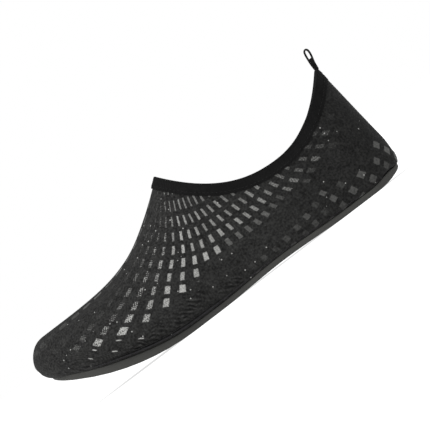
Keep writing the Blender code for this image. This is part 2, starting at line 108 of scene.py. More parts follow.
class NodeGraph:
    """A small hand for wiring shader nodes in a material or a group."""

    def __init__(self, tree: NodeTree) -> None:
        """Takes the node tree to work in."""
        self.tree = tree

    def feed(self, value: object, socket: NodeSocket) -> None:
        """Links a socket to an input, or sets the input to a plain value.

        Args:
            value: the socket or the plain value.
            socket: the input.
        """
        if isinstance(value, NodeSocket):
            self.tree.links.new(value, socket)
        else:
            socket.default_value = value

    def add(self, kind: str, settings: dict | None = None, **inputs: object) -> Node:
        """Adds a node, sets its properties and fills or links its inputs.

        Args:
            kind: the node's Blender type.
            settings: properties of the node, by name.
            inputs: values or sockets for its inputs, by name with _ for a space, or in_N by number.

        Returns:
            The new node.
        """
        node = self.tree.nodes.new(kind)
        for name, value in (settings or {}).items():
            setattr(node, name, value)
        for name, value in inputs.items():
            self.feed(value, node.inputs[int(name[3:]) if name.startswith("in_") else name.replace("_", " ")])
        return node

    def math(self, operation: str, *values: object, clamp: bool = False) -> NodeSocket:
        """Adds a Math node.

        Args:
            operation: the node's operation.
            values: its numbers or sockets, in order.
            clamp: whether to hold the result between 0 and 1.

        Returns:
            Its output socket.
        """
        inputs = {f"in_{i}": value for i, value in enumerate(values)}
        return self.add("ShaderNodeMath", {"operation": operation, "use_clamp": clamp}, **inputs).outputs[0]

    def plus(self, first: object, second: object) -> NodeSocket:
        """Adds two values."""
        return self.math("ADD", first, second)

    def minus(self, first: object, second: object, clamp: bool = False) -> NodeSocket:
        """Takes the second value from the first."""
        return self.math("SUBTRACT", first, second, clamp=clamp)

    def times(self, first: object, second: object, clamp: bool = False) -> NodeSocket:
        """Multiplies two values."""
        return self.math("MULTIPLY", first, second, clamp=clamp)

    def vector(self, operation: str, *values: object) -> NodeSocket:
        """Adds a Vector Math node.

        Args:
            operation: the node's operation.
            values: its vectors or sockets, in order.

        Returns:
            Its output socket.
        """
        inputs = {f"in_{i}": value for i, value in enumerate(values)}
        node = self.add("ShaderNodeVectorMath", {"operation": operation}, **inputs)
        return node.outputs["Value" if operation == "DOT_PRODUCT" else "Vector"]

    def scaled(self, vector: object, factor: object) -> NodeSocket:
        """Scales a vector."""
        return self.add("ShaderNodeVectorMath", {"operation": "SCALE"}, in_0=vector, Scale=factor).outputs["Vector"]

    def split(self, vector: object) -> Sockets:
        """Takes a vector apart into the outputs X, Y and Z."""
        return self.add("ShaderNodeSeparateXYZ", Vector=vector).outputs

    def noise(self, place: object, scale: object, detail: float) -> Sockets:
        """Adds a noise texture and gives its outputs."""
        return self.add("ShaderNodeTexNoise", Vector=place, Scale=scale, Detail=detail).outputs

    def use(self, tree: NodeTree, **inputs: object) -> Sockets:
        """Places a shared group and gives its outputs."""
        return self.add("ShaderNodeGroup", {"node_tree": tree}, **inputs).outputs

    def ramp(self, value: object, low: float, high: float, start: float = 0.0, end: float = 1.0) -> NodeSocket:
        """Maps a value smoothly from one range onto another.

        Args:
            value: the socket to map.
            low: the value that gives start.
            high: the value that gives end.
            start: the result at low.
            end: the result at high.

        Returns:
            The output socket.
        """
        ends = {"From_Min": low, "From_Max": high, "To_Min": start, "To_Max": end}
        node = self.add("ShaderNodeMapRange", {"interpolation_type": "SMOOTHSTEP"}, Value=value, **ends)
        return node.outputs["Result"]

    def mix(self, factor: object, first: object, second: object, blend: Blend = Blend.MIX) -> NodeSocket:
        """Mixes two colours.

        Args:
            factor: how much of the second, as a number or socket.
            first: a colour or socket.
            second: a colour or socket.
            blend: how they are put together.

        Returns:
            The output socket.
        """
        settings = {"data_type": "RGBA", "blend_type": blend.value}
        return self.add("ShaderNodeMix", settings, in_0=factor, in_6=first, in_7=second).outputs[2]

    def shaded(self, colour: object, shade: object, factor: object = 1.0) -> NodeSocket:
        """Multiplies a colour by a shade of grey."""
        grey = self.add("ShaderNodeCombineColor", Red=shade, Green=shade, Blue=shade).outputs["Color"]
        return self.mix(factor, colour, grey, Blend.MULTIPLY)


def group(name: str, outputs: tuple[str, ...], **inputs: object) -> tuple[NodeGraph, Sockets, Sockets]:
    """Starts a shader node group.

    Args:
        name: the group's name.
        outputs: the names of its outputs, each a value.
        inputs: its inputs' default values by name; a tuple makes a vector.

    Returns:
        The graph to build in, the sockets that its inputs come from and the sockets of its outputs.
    """
    tree = bpy.data.node_groups.new(name, "ShaderNodeTree")
    for label, value in inputs.items():
        kind = "NodeSocketVector" if isinstance(value, tuple) else VALUE
        tree.interface.new_socket(name=label, in_out="INPUT", socket_type=kind).default_value = value
    for label in outputs:
        tree.interface.new_socket(name=label, in_out="OUTPUT", socket_type=VALUE)
    graph = NodeGraph(tree)
    return graph, graph.add("NodeGroupInput").outputs, graph.add("NodeGroupOutput").inputs


def grain_group() -> NodeTree:
    """Makes the group that mottles a surface: broad cloud and fine grain.

    Returns:
        The group, with Mottle around 1 and Grain from 0 to 1.
    """
    graph, given, out = group(
        "Grain", ("Mottle", "Grain"), Place=NOWHERE, Cloud=120.0, Fine=900.0, Depth=0.3, Fleck=0.3
    )
    cloud = graph.noise(given["Place"], given["Cloud"], 3.0)["Fac"]
    fine = graph.noise(given["Place"], given["Fine"], 2.0)["Fac"]
    spread = graph.times(graph.minus(cloud, 0.5), given["Depth"])
    speckle = graph.times(graph.minus(fine, 0.5), given["Fleck"])
    graph.feed(graph.math("MAXIMUM", graph.plus(graph.plus(spread, 1.0), speckle), 0.25), out["Mottle"])
    graph.feed(fine, out["Grain"])
    return graph.tree


def knit_group() -> NodeTree:
    """Makes the group of a fine knit: slanting rows of loops, broken up by yarn noise.

    Returns:
        The group, with a Loop mask from 0 to 1.
    """
    graph, given, out = group("Knit", ("Loop",), Place=NOWHERE, Gauge=7000.0, Slant=0.6, Fuzz=2.4)
    fuzz = graph.noise(given["Place"], 1100.0, 2.0)["Fac"]
    place = graph.split(given["Place"])
    wobble = graph.times(graph.minus(fuzz, 0.5), given["Fuzz"])
    level = graph.times(place["Z"], given["Gauge"])
    across = graph.times(graph.plus(place["X"], place["Y"]), given["Gauge"])
    slanted = graph.plus(across, graph.times(level, given["Slant"]))
    rows, wales = (graph.math("SINE", graph.plus(run, wobble)) for run in (level, slanted))
    graph.feed(graph.math("MULTIPLY_ADD", graph.times(rows, wales), 0.5, 0.5), out["Loop"])
    return graph.tree


def dash_group() -> NodeTree:
    """Makes the group that draws one printed dash in each cell of the warped grid.

    Returns:
        The group, with an Ink mask from 0 to 1: whole where the tone is high, broken into dots where it is low.
    """
    graph, given, out = group(
        "Dashes", ("Ink",), Grid=NOWHERE, Size=(0.3, 0.6, 0.0), Place=NOWHERE, Soft=0.06, Ragged=0.10, Dots=4300.0
    )
    rough = graph.noise(given["Place"], 800.0, 1.0)
    half = (0.5, 0.5, 0.5)
    shift = graph.scaled(graph.vector("SUBTRACT", rough["Color"], half), given["Ragged"])
    moved = graph.vector("ADD", given["Grid"], shift)
    cell = graph.vector("FLOOR", graph.vector("ADD", moved, half))
    size = graph.split(given["Size"])
    # A dash lower than the common height lies at its cell's inner end
    rise = graph.times(graph.minus(DASH_HIGH, size["Y"]), 0.5)
    step = graph.add("ShaderNodeCombineXYZ", Y=rise).outputs["Vector"]
    centred = graph.vector("ADD", graph.vector("SUBTRACT", moved, cell), step)
    inside = graph.split(graph.vector("ABSOLUTE", centred))
    masks = []
    for axis in ("X", "Y"):
        over = graph.minus(inside[axis], graph.times(size[axis], 0.5))
        masks.append(graph.minus(0.5, graph.math("DIVIDE", over, given["Soft"]), clamp=True))
    turn = graph.split(graph.scaled(given["Place"], given["Dots"]))
    dots = graph.times(rough["Fac"], 1.2)
    for a, b in (("X", "Y"), ("Y", "Z"), ("Z", "X")):
        dots = graph.plus(dots, graph.times(graph.math("SINE", turn[a]), graph.math("COSINE", turn[b])))
    floor = graph.math("MULTIPLY_ADD", graph.split(given["Grid"])["Z"], -2.6, 2.0)
    broken = graph.times(graph.minus(dots, floor), 1.6, clamp=True)
    kept = graph.minus(1.0, graph.times(graph.minus(1.0, broken), size["Z"]))
    graph.feed(graph.times(graph.times(*masks), kept), out["Ink"])
    return graph.tree


def speck_group() -> NodeTree:
    """Makes the group of stray pinpoints of print.

    Returns:
        The group, with a Speck mask from 0 to 1.
    """
    graph, given, out = group("Specks", ("Speck",), Place=NOWHERE, Density=270.0, Radius=0.13, Rare=0.74)
    cells = graph.add("ShaderNodeTexVoronoi", Vector=given["Place"], Scale=given["Density"]).outputs
    near = graph.times(graph.minus(given["Radius"], cells["Distance"]), 40.0, clamp=True)
    luck = graph.add("ShaderNodeSeparateColor", Color=cells["Color"]).outputs["Red"]
    graph.feed(graph.times(near, graph.math("GREATER_THAN", luck, given["Rare"])), out["Speck"])
    return graph.tree


def wrinkle_group() -> NodeTree:
    """Makes the group of fine slanting wrinkles in the stretched cloth above the sole.

    Returns:
        The group, with a Height from 0 to 1.
    """
    graph, given, out = group("Wrinkles", ("Height",), Place=NOWHERE, Pitch=0.0026, Wander=11.0, Breaks=210.0)
    slope = graph.vector("DOT_PRODUCT", given["Place"], (-0.60, 0.0, 0.80))
    turns = graph.math("DIVIDE", graph.times(slope, 2 * math.pi), given["Pitch"])
    wander = graph.noise(given["Place"], 130.0, 1.0)["Fac"]
    turns = graph.plus(turns, graph.times(wander, given["Wander"]))
    kept = graph.ramp(graph.noise(given["Place"], given["Breaks"], 1.0)["Fac"], 0.34, 0.56, 0.0, 0.5)
    graph.feed(graph.math("MULTIPLY_ADD", graph.math("SINE", turns), kept, 0.5), out["Height"])
    return graph.tree


@dataclass(frozen=True)
class Groups:
    """The node groups that the finishes share, each built once."""

    grain: NodeTree
    knit: NodeTree
    dashes: NodeTree
    specks: NodeTree
    wrinkles: NodeTree

    @classmethod
    def build(cls) -> "Groups":
        """Builds every group."""
        return cls(grain_group(), knit_group(), dash_group(), speck_group(), wrinkle_group())


@dataclass(frozen=True)
class Finish:
    """What every finish has: a colour, a roughness, the shader's constants and the scales of its grain."""

    name: str
    colour: Colour
    roughness: float
    specular: float = 0.5
    sheen: float = 0.0
    grain: tuple[float, float, float, float] = (90.0, 1100.0, 0.7, 1.2)

    def start(self, groups: Groups) -> tuple[Material, NodeGraph, Sockets, NodeSocket, Sockets]:
        """Starts the material.

        Args:
            groups: the shared groups.

        Returns:
            The material, its graph, its shader's inputs, the object coordinates and the grain's outputs.
        """
        made = bpy.data.materials.new(self.name)
        made.use_nodes = True
        graph = NodeGraph(made.node_tree)
        shader = made.node_tree.nodes["Principled BSDF"].inputs
        shader["Base Color"].default_value = (*self.colour, 1.0)
        shader["Roughness"].default_value = self.roughness
        shader["Specular IOR Level"].default_value = self.specular
        shader["Sheen Weight"].default_value = self.sheen
        place = graph.add("ShaderNodeTexCoord").outputs["Object"]
        scales = dict(zip(("Cloud", "Fine", "Depth", "Fleck"), self.grain))
        return made, graph, shader, place, graph.use(groups.grain, Place=place, **scales)

    def close(self, graph: NodeGraph, shader: Sockets, colour: NodeSocket, height: object, depth_mm: float) -> None:
        """Gives the shader its colour and its relief.

        Args:
            graph: the material's graph.
            shader: its shader's inputs.
            colour: the socket of the colour.
            height: the socket of the height.
            depth_mm: how deep the relief is where the height is 1.
        """
        graph.feed(colour, shader["Base Color"])
        bump = graph.add("ShaderNodeBump", Strength=1.0, Distance=depth_mm * MM, Height=height)
        graph.feed(bump.outputs["Normal"], shader["Normal"])


@dataclass(frozen=True)
class ClothFinish(Finish):
    """Plain knitted cloth, for the lining and the footbed."""

    gauge: float = 7000.0
    slant: float = 0.6
    shades: tuple[float, float] = (0.75, 1.2)
    depth_mm: float = 0.12

    def material(self, groups: Groups) -> Material:
        """Builds the material from the shared groups.

        Args:
            groups: the shared groups.

        Returns:
            The material.
        """
        made, graph, shader, place, grain = self.start(groups)
        loop = graph.use(groups.knit, Place=place, Gauge=self.gauge, Slant=self.slant)["Loop"]
        shade = graph.times(grain["Mottle"], graph.ramp(loop, 0.0, 1.0, *self.shades))
        self.close(graph, shader, graph.shaded((*self.colour, 1.0), shade), loop, self.depth_mm)
        return made


@dataclass(frozen=True)
class TapeFinish(ClothFinish):
    """Woven elastic: fine ribs across the tape."""

    grain: tuple[float, float, float, float] = (200.0, 1300.0, 0.8, 1.2)
    gauge: float = ribs(0.9)
    slant: float = 0.0
    shades: tuple[float, float] = (0.7, 1.25)


@dataclass(frozen=True)
class JerseyFinish(Finish):
    """The upper's stretch jersey with its printed dashes."""

    grain: tuple[float, float, float, float] = (170.0, 760.0, 1.1, 3.2)
    gauge: float = 7600.0
    print_colour: Colour = (0.40, 0.40, 0.385)
    print_roughness: float = 0.55
    yarn_mm: float = 0.10
    print_mm: float = 0.05
    wrinkle_mm: float = 0.75
    # How much of the ground's colour is kept at the back of the heel: painted shade
    heel_shade_share: float = 0.70

    def material(self, groups: Groups) -> Material:
        """Builds the material from the shared groups and the upper's own attributes.

        Args:
            groups: the shared groups.

        Returns:
            The material.
        """
        made, graph, shader, place, grain = self.start(groups)
        grid, size = (
            graph.add("ShaderNodeAttribute", {"attribute_name": name}).outputs["Vector"]
            for name in ("print_grid", "print_size")
        )
        crowding = graph.add("ShaderNodeAttribute", {"attribute_name": "wrinkling"}).outputs["Fac"]
        loop = graph.use(groups.knit, Place=place, Gauge=self.gauge)["Loop"]
        dash = graph.use(groups.dashes, Grid=grid, Size=size, Place=place)["Ink"]
        speck = graph.use(groups.specks, Place=place)["Speck"]
        fold = graph.use(groups.wrinkles, Place=place)["Height"]
        shade = graph.times(grain["Mottle"], graph.ramp(loop, 0.0, 1.0, 0.7, 1.35))
        # Painted shade: the ground's colour darkens from the middle of the shoe towards the heel
        painted_heel_shade = graph.ramp(graph.split(place)["X"], own_x(45), own_x(95), self.heel_shade_share, 1.0)
        ground = graph.shaded((*self.colour, 1.0), graph.times(shade, painted_heel_shade))
        # Painted shade and painted highlight: the wrinkles darken the colour in their troughs and lighten it on their
        # ridges
        painted_wrinkle_shade = graph.ramp(fold, 0.1, 0.9, 0.25, 1.6)
        ground = graph.shaded(ground, painted_wrinkle_shade, graph.math("MINIMUM", crowding, 1.0))
        worn = graph.ramp(grain["Grain"], 0.3, 0.65, 0.72, 1.0)
        ink = graph.times(dash, graph.times(graph.split(grid)["Z"], worn), clamp=True)
        ink = graph.math("MAXIMUM", ink, graph.times(speck, 0.75))
        graph.feed(graph.ramp(ink, 0.0, 0.6, self.roughness, self.print_roughness), shader["Roughness"])
        height = graph.math("MULTIPLY_ADD", dash, self.print_mm, graph.times(loop, self.yarn_mm))
        height = graph.plus(height, graph.times(fold, graph.times(crowding, self.wrinkle_mm)))
        self.close(graph, shader, graph.mix(ink, ground, (*self.print_colour, 1.0)), height, 1.0)
        return made


@dataclass(frozen=True)
class ThreadFinish(Finish):
    """Twisted sewing thread."""

    grain: tuple[float, float, float, float] = (300.0, 2600.0, 0.6, 1.2)
    depth_mm: float = 0.05

    def material(self, groups: Groups) -> Material:
        """Builds the material from the shared groups.

        Args:
            groups: the shared groups.

        Returns:
            The material.
        """
        made, graph, shader, _, grain = self.start(groups)
        colour = graph.shaded((*self.colour, 1.0), grain["Mottle"])
        self.close(graph, shader, colour, grain["Grain"], self.depth_mm)
        return made


@dataclass(frozen=True)
class RubberFinish(Finish):
    """Moulded rubber with a fine spark texture, and with small diamond blocks where it has a cut, their grooves
    darkened with painted shade.
    """

    grain: tuple[float, float, float, float] = (70.0, 1500.0, 0.35, 0.5)
    depth_mm: float = 0.05
    cut_mm: float = 0.0
    pitch_mm: float = 3.0
    gloss_spread: float = 0.08

    def material(self, groups: Groups) -> Material:
        """Builds the material from the shared groups.

        Args:
            groups: the shared groups.

        Returns:
            The material.
        """
        made, graph, shader, place, grain = self.start(groups)
        shade = grain["Mottle"]
        height = graph.times(grain["Grain"], self.depth_mm)
        if self.cut_mm > 0.0:
            spot = graph.split(place)
            runs = [graph.math(kind, spot["X"], spot["Y"]) for kind in ("ADD", "SUBTRACT")]
            walls = [graph.math("SINE", graph.times(run, ribs(2 * self.pitch_mm))) for run in runs]
            block = graph.math("MINIMUM", *(graph.math("ABSOLUTE", wall) for wall in walls))
            block = graph.ramp(block, 0.10, 0.34, 0.0, 1.0)
            height = graph.math("MULTIPLY_ADD", block, self.cut_mm, height)
            # Painted shade: the grooves between the diamond blocks are darkened in the colour
            shade = graph.times(shade, graph.ramp(block, 0.0, 1.0, 0.5, 1.0))
        low, high = self.roughness - self.gloss_spread, self.roughness + self.gloss_spread
        graph.feed(graph.ramp(grain["Grain"], 0.3, 0.7, low, high), shader["Roughness"])
        self.close(graph, shader, graph.shaded((*self.colour, 1.0), shade), height, 1.0)
        return made


def mesh_of(name: str, shape: BMesh) -> Mesh:
    """Turns a shape into a mesh.

    Args:
        name: the mesh's name.
        shape: the shape, which is freed.

    Returns:
        The mesh.
    """
    data = bpy.data.meshes.new(name)
    shape.to_mesh(data)
    shape.free()
    return data


def place_object(name: str, data: bpy.types.ID) -> Object:
    """Links a new object into the scene.

    Args:
        name: its name.
        data: its mesh, lamp or camera.

    Returns:
        The object.
    """
    made = bpy.data.objects.new(name, data)
    bpy.context.scene.collection.objects.link(made)
    return made


def points_of(data: Mesh, name: str = "co") -> np.ndarray:
    """Reads a vector of every vertex, such as its place.

    Args:
        data: the mesh.
        name: the vector's name.

    Returns:
        One row for each vertex.
    """
    found = np.zeros(len(data.vertices) * 3)
    data.vertices.foreach_get(name, found)
    return found.reshape(-1, 3)


def node_shape(node: str) -> BMesh:
    """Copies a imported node's mesh, merges its loose triangles and joins them into the quads they came from.

    Args:
        node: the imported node's name.

    Returns:
        The copy.
    """
    shape = bmesh.new()
    shape.from_mesh(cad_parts[node].data)
    bmesh.ops.remove_doubles(shape, verts=shape.verts, dist=MERGE)
    limits = {"angle_face_threshold": math.pi, "angle_shape_threshold": math.pi, "topology_influence": 2.0}
    bmesh.ops.join_triangles(shape, faces=shape.faces, **limits)
    shape.verts.index_update()
    return shape


def evaluated(holder: Object) -> Object:
    """Gives an object with its modifiers as they stand."""
    bpy.context.view_layer.update()
    return holder.evaluated_get(bpy.context.evaluated_depsgraph_get())


def rounded(name: str, shape: BMesh, levels: int) -> Mesh:
    """Subdivides a shape smoothly so that the finer surface still passes through its corners.

    Args:
        name: the mesh's name.
        shape: the coarse shape, which is freed.
        levels: how often it is subdivided.

    Returns:
        The fine mesh.
    """
    data = mesh_of(name, shape)
    holder = place_object(name + "_cage", data)
    finer = holder.modifiers.new("Rounding", "SUBSURF")
    finer.levels = finer.render_levels = levels
    wanted = points_of(data)
    cage = wanted.copy()
    for _ in range(3):
        cage += 0.9 * (wanted - points_of(evaluated(holder).data)[: len(wanted)])
        data.vertices.foreach_set("co", cage.ravel())
        data.update()
    fine = bpy.data.meshes.new_from_object(evaluated(holder))
    fine.name = name
    bpy.data.objects.remove(holder)
    return fine


def piece(
    name: str, shape: Mesh | BMesh, slot: str, *nodes: str, materials: tuple[Material, ...], sharp_deg: float = 45.0
) -> Object:
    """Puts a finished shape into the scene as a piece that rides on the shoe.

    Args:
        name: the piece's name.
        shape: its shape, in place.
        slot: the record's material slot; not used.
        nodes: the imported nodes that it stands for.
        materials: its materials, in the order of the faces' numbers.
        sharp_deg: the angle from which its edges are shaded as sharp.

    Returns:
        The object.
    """
    data = mesh_of(name, shape) if isinstance(shape, BMesh) else shape
    made = place_object(name, data)
    data.shade_smooth()
    data.set_sharp_from_angle(angle=math.radians(sharp_deg))
    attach(made, ROOT)
    if nodes:
        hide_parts(*nodes)
    for material in materials:
        data.materials.append(material)
    LOG.info("%s: %d faces", name, len(data.polygons))
    return made


def node_middle(node: str) -> float:
    """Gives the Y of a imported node's middle."""
    low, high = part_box(node)
    return (low.y + high.y) / 2


def from_behind(tree: BVHTree, y: float, level_mm: float) -> tuple[Vector, Vector]:
    """Finds a surface at the back of the heel.

    Args:
        tree: the surface.
        y: the place across.
        level_mm: the height.

    Returns:
        The point and the way out of the surface.
    """
    place, out, _, _ = tree.ray_cast(Vector((own_x(BEHIND_MM), y, level_mm * MM)), Vector((1, 0, 0)))
    return place, out


def mesh_tree(data: Mesh) -> BVHTree:
    """Gives a mesh as a tree for rays.

    Args:
        data: the mesh.

    Returns:
        The tree.
    """
    shape = bmesh.new()
    shape.from_mesh(data)
    made = BVHTree.FromBMesh(shape)
    shape.free()
    return made


def point_tree(points: np.ndarray, ids: np.ndarray) -> KDTree:
    """Puts chosen points into a tree that finds the nearest of them.

    Args:
        points: all points.
        ids: the numbers of the chosen ones.

    Returns:
        The tree.
    """
    tree = KDTree(len(ids))
    for i in ids:
        tree.insert(points[i], int(i))
    tree.balance()
    return tree


@dataclass
class UpperSurface:
    """What the print and the seams need to know of the upper: its middle line and its outer face."""

    data: Mesh
    outer: np.ndarray
    points: np.ndarray
    normals: np.ndarray
    sole_loop: np.ndarray
    collar_loop: np.ndarray

    def middle(self, x: np.ndarray) -> np.ndarray:
        """Gives the Y of the shoe's middle line, halfway between the two sides of the sole's edge.

        Args:
            x: places along the shoe.

        Returns:
            The middle line's Y there.
        """
        edge = self.points[self.sole_loop]
        toe = edge[np.argmax(edge[:, 0])]
        heel = edge[np.argmin(edge[:, 0])]
        chord = np.interp(edge[:, 0], (heel[0], toe[0]), (heel[1], toe[1]))
        sides = []
        for sign in (1, -1):
            side = edge[(edge[:, 1] - chord) * sign >= -1e-6]
            side = side[np.argsort(side[:, 0])]
            sides.append(np.interp(x, side[:, 0], side[:, 1]))
        return (sides[0] + sides[1]) / 2

    def tree(self) -> BVHTree:
        """Gives the surface as a tree for rays."""
        return mesh_tree(self.data)

    def move(self, way: np.ndarray) -> None:
        """Moves every point and writes the points into the mesh.

        Args:
            way: how far each point moves.
        """
        self.points += way
        self.data.vertices.foreach_set("co", self.points.ravel())
        self.data.update()

    def folded(self, points: np.ndarray) -> np.ndarray:
        """Folds points onto one side of the middle line, in millimetres."""
        half = np.abs(points[:, 1] - self.middle(points[:, 0]))
        return np.column_stack((points[:, 0], half, points[:, 2])) / MM


@dataclass(frozen=True)
class PrintChart:
    """The print's warped grid: columns fan out from the throat and rows run round it.

    The marks are dashes charted on the side of the shoe, and a few chosen on its crown and heel.
    """

    marks: tuple[tuple[float, float, float, float], ...] = (
        (-10, 14, 226, 45), (-10, 13, 216.5, 46), (-9, 15, 229, 35.5), (-9, 13, 212, 40),
        (-8, 14, 214.5, 30.5), (-8, 12, 198, 37), (-8, 10, 182, 43),
        (-7, 13, 199, 27), (-7, 10, 176.5, 38.5), (-7, 8, 161.5, 49),
        (-6, 12, 183.5, 24.5), (-6, 10, 170, 34.5), (-6, 8, 156.5, 45), (-6, 6, 145, 56),
        (-4, 10, 155, 26), (-4, 8, 145, 38), (-4, 5, 132, 60),
        (-2, 8, 131, 33), (-2, 5, 124, 56.5),
        (0, 11, 112, 10), (0, 7, 115.5, 38.5), (0, 4, 115.5, 64),
        (2, 11, 94, 10), (2, 7, 102.5, 37.5), (2, 5, 106, 53),
        (4, 11, 76, 12.5), (4, 7, 90, 37.5), (4, 6, 93, 46),
        (6, 12, 56.5, 9.5), (6, 11, 58, 17), (6, 8, 74, 33.5), (6, 7, 77.5, 40.5),
        (8, 13, 34.5, 9.5), (8, 12, 38, 17.5), (8, 8, 59.5, 37), (8, 7, 66.5, 44.5),
        (10, 15, 8.5, 9.5), (10, 14, 12.5, 15), (10, 8, 48, 44),
        (11, 15, 3.3, 17.3), (11, 14, 5.9, 23.7),
    )
    crown: tuple[tuple[float, float, float], ...] = (
        (-12, 4.3, 140), (-12, 7, 160), (-12, 10.3, 190), (-12, 13.7, 220), (-12, 16, 243),
    )
    smoothing: float = 400.0
    faces_out: float = 0.05

    def warp(self, surface: UpperSurface) -> np.ndarray:
        """Spreads the marks' columns and rows smoothly over the upper's outer face.

        Args:
            surface: the upper.

        Returns:
            Column and row of every point of the mesh, zero off the outer face.
        """
        outer = np.flatnonzero(surface.outer)
        folded = surface.folded(surface.points[outer])
        known, values = [], []
        tree = point_tree(folded * (1.0, 0.0, 1.0), np.flatnonzero(surface.normals[outer, 1] > self.faces_out))
        for column, row, along, up in self.marks:
            _, i, _ = tree.find((own_x(along) / MM, 0.0, up))
            known.append(folded[i])
            values.append((column, row))
        for column, row, along in self.crown:
            near = np.abs(folded[:, 0] - own_x(along) / MM) + 3 * folded[:, 1]
            known.append(folded[np.argmin(near)])
            values.append((column, row))
        known, values = np.array(known), np.array(values)
        count = len(known)
        gaps = np.linalg.norm(known[:, None] - known[None], axis=2) ** 3
        tail = np.column_stack((np.ones(count), known))
        system = np.zeros((count + 4, count + 4))
        system[:count, :count] = gaps + np.eye(count) * self.smoothing
        system[:count, count:] = tail
        system[count:, :count] = tail.T
        solved = np.linalg.lstsq(system, np.vstack((values, np.zeros((4, 2)))), rcond=None)[0]
        reach = np.linalg.norm(folded[:, None] - known[None], axis=2) ** 3
        grid = np.zeros((len(surface.points), 2))
        grid[outer] = reach @ solved[:count] + np.column_stack((np.ones(len(folded)), folded)) @ solved[count:]
        return grid


@dataclass(frozen=True)
class Dash:
    """How one cell of the print is drawn."""

    tone: float
    width: float
    height: float = DASH_HIGH
    wear: float = 0.0


@dataclass(frozen=True)
class PrintTones:
    """How strongly and how large each dash shows, by its column and row."""

    # Partly painted light: the glossy dashes in the forefoot that face the light are drawn far brighter than the same
    # dashes low at the back, as painted highlight on the print
    by_column: Table = (
        (-12, 0.05), (-11, 0.05), (-10, 0.06), (-9, 0.42), (-8, 0.80), (-7, 1.0), (-6, 1.0), (-5, 0.92), (-4, 1.0),
        (-3, 0.90), (-1, 0.80), (1, 0.72), (4, 0.66), (6, 0.60), (8, 0.50), (10, 0.40), (12, 0.24),
        (13, 0.10), (14, 0.04),
    )
    kept_inward: Table = (
        (-10, 0.9), (-9, 0.45), (-8, 0.42), (-7, 0.46), (-6, 0.58), (-5, 0.80), (-4, 0.80), (0, 0.75), (8, 0.8),
    )
    wear: Table = (
        (-10, 0.6), (-9, 0.9), (-7, 1.0), (-6, 0.8), (-5, 0.5), (-3, 0.30), (0, 0.25), (5, 0.35), (8, 0.6), (12, 0.8),
    )
    fade_rows: float = 2.2
    upper_rows: Table = ((-2, 0.25), (2, 0.45), (4, 0.65), (5, 0.85), (7, 1.0))
    width_inward: Table = ((-9, 0.26), (-5, 0.28), (-2, 0.30), (0, 0.37))
    low_from: Table = ((6, 11), (8, 12), (9, 13), (10, 14), (11, 14), (12, 15))
    low_tone: Table = ((0, 0.05), (4, 0.09), (8, 0.12), (10, 0.17), (11, 0.26), (12, 0.16))
    last_row: Table = ((6, 8.0), (8, 9.0), (12, 10.0))
    glints: tuple[tuple[int, int], ...] = ((-8, 15), (-8, 16), (-7, 14), (-7, 15), (-6, 14))
    edge_sum: float = 6.0
    edge_share: float = 0.35
    crown_row: int = 11
    crown_tone: Table = ((11, 0.40), (15, 0.18))
    crown_width: Table = ((11, 0.24), (15, 0.38))
    crown_wear: Table = ((11, 0.35), (15, 0.85))

    def of(self, column: int, row: int, chance: float) -> Dash:
        """Gives a dash's tone and size.

        Args:
            column: the dash's column.
            row: its row.
            chance: a number from 0 to 1 that is the dash's own.

        Returns:
            How it is drawn.
        """
        beyond = row - max(table_curve(self.last_row, column), self.edge_sum - column)
        tone = table_curve(self.by_column, column)
        width = table_curve(self.width_inward, beyond)
        if column <= -11:
            tone = table_curve(self.crown_tone, row) * (0.4 + 0.8 * chance)
            return Dash(tone, table_curve(self.crown_width, row), wear=table_curve(self.crown_wear, row))
        if column == -10 and row >= self.crown_row:
            return Dash(tone * (0.5 + 1.2 * chance), 0.46, 0.60, 0.9)
        if beyond > 0.4:
            return self.beyond_edge(column, row, beyond, chance)
        if column > -1 and beyond > -0.5:
            tone *= self.edge_share
        kept = table_curve(self.kept_inward, column)
        tone *= kept + (1.0 - kept) * math.exp(beyond / self.fade_rows)
        tone *= table_curve(self.upper_rows, row) * (0.80 + 0.34 * chance)
        return Dash(min(tone, 1.0), width * (0.9 + 0.2 * chance), wear=table_curve(self.wear, column))

    def beyond_edge(self, column: int, row: int, beyond: float, chance: float) -> Dash:
        """Gives what is drawn past the fan's edge: slim glints in front, dim squares low at the back.

        Args:
            column: the dash's column.
            row: its row.
            beyond: rows past the fan's edge.
            chance: a number from 0 to 1 that is the dash's own.

        Returns:
            How it is drawn.
        """
        if (column, row) in self.glints:
            return Dash(0.9, 0.22, 0.10)
        low = column > -1 and row >= table_curve(self.low_from, column) - 0.5
        tone = table_curve(self.low_tone, column) * (0.45 + 0.9 * chance)
        return Dash(tone if low else 0.0, 0.38, 0.56)


@dataclass(frozen=True)
class Crease:
    """A soft trough or ridge across the cloth, on one side of the shoe."""

    outer_side: bool
    from_mm: tuple[float, float]
    to_mm: tuple[float, float]
    width_mm: float
    depth_mm: float

    def push(self, folded: np.ndarray, side: np.ndarray) -> np.ndarray:
        """Works out how far the crease presses each point inwards.

        Args:
            folded: the points, folded onto one side, in millimetres.
            side: whether each point is on the outer side.

        Returns:
            Millimetres inwards, negative for a ridge.
        """
        start = np.array((own_x(self.from_mm[0]) / MM, self.from_mm[1]))
        line = np.array((own_x(self.to_mm[0]) / MM, self.to_mm[1])) - start
        length = np.linalg.norm(line)
        flat = folded[:, (0, 2)] - start
        along = flat @ line / length**2
        off = np.abs(flat[:, 0] * line[1] - flat[:, 1] * line[0]) / length
        ends = np.sin(np.pi * np.clip(along, 0.0, 1.0))
        return self.depth_mm * ends * np.exp(-((off / self.width_mm) ** 2)) * (side == self.outer_side)


@dataclass(frozen=True)
class WrinklePatch:
    """A patch of fine wrinkles above the sole, in millimetres from the heel and up."""

    along: float
    up: float
    long: float
    high: float

    def strength(self, folded: np.ndarray) -> np.ndarray:
        """Gives how strongly each point is wrinkled, from 0 to 1."""
        away = (folded[:, 0] - own_x(self.along) / MM) / self.long
        return np.exp(-(away**2) - ((folded[:, 2] - self.up) / self.high) ** 2)


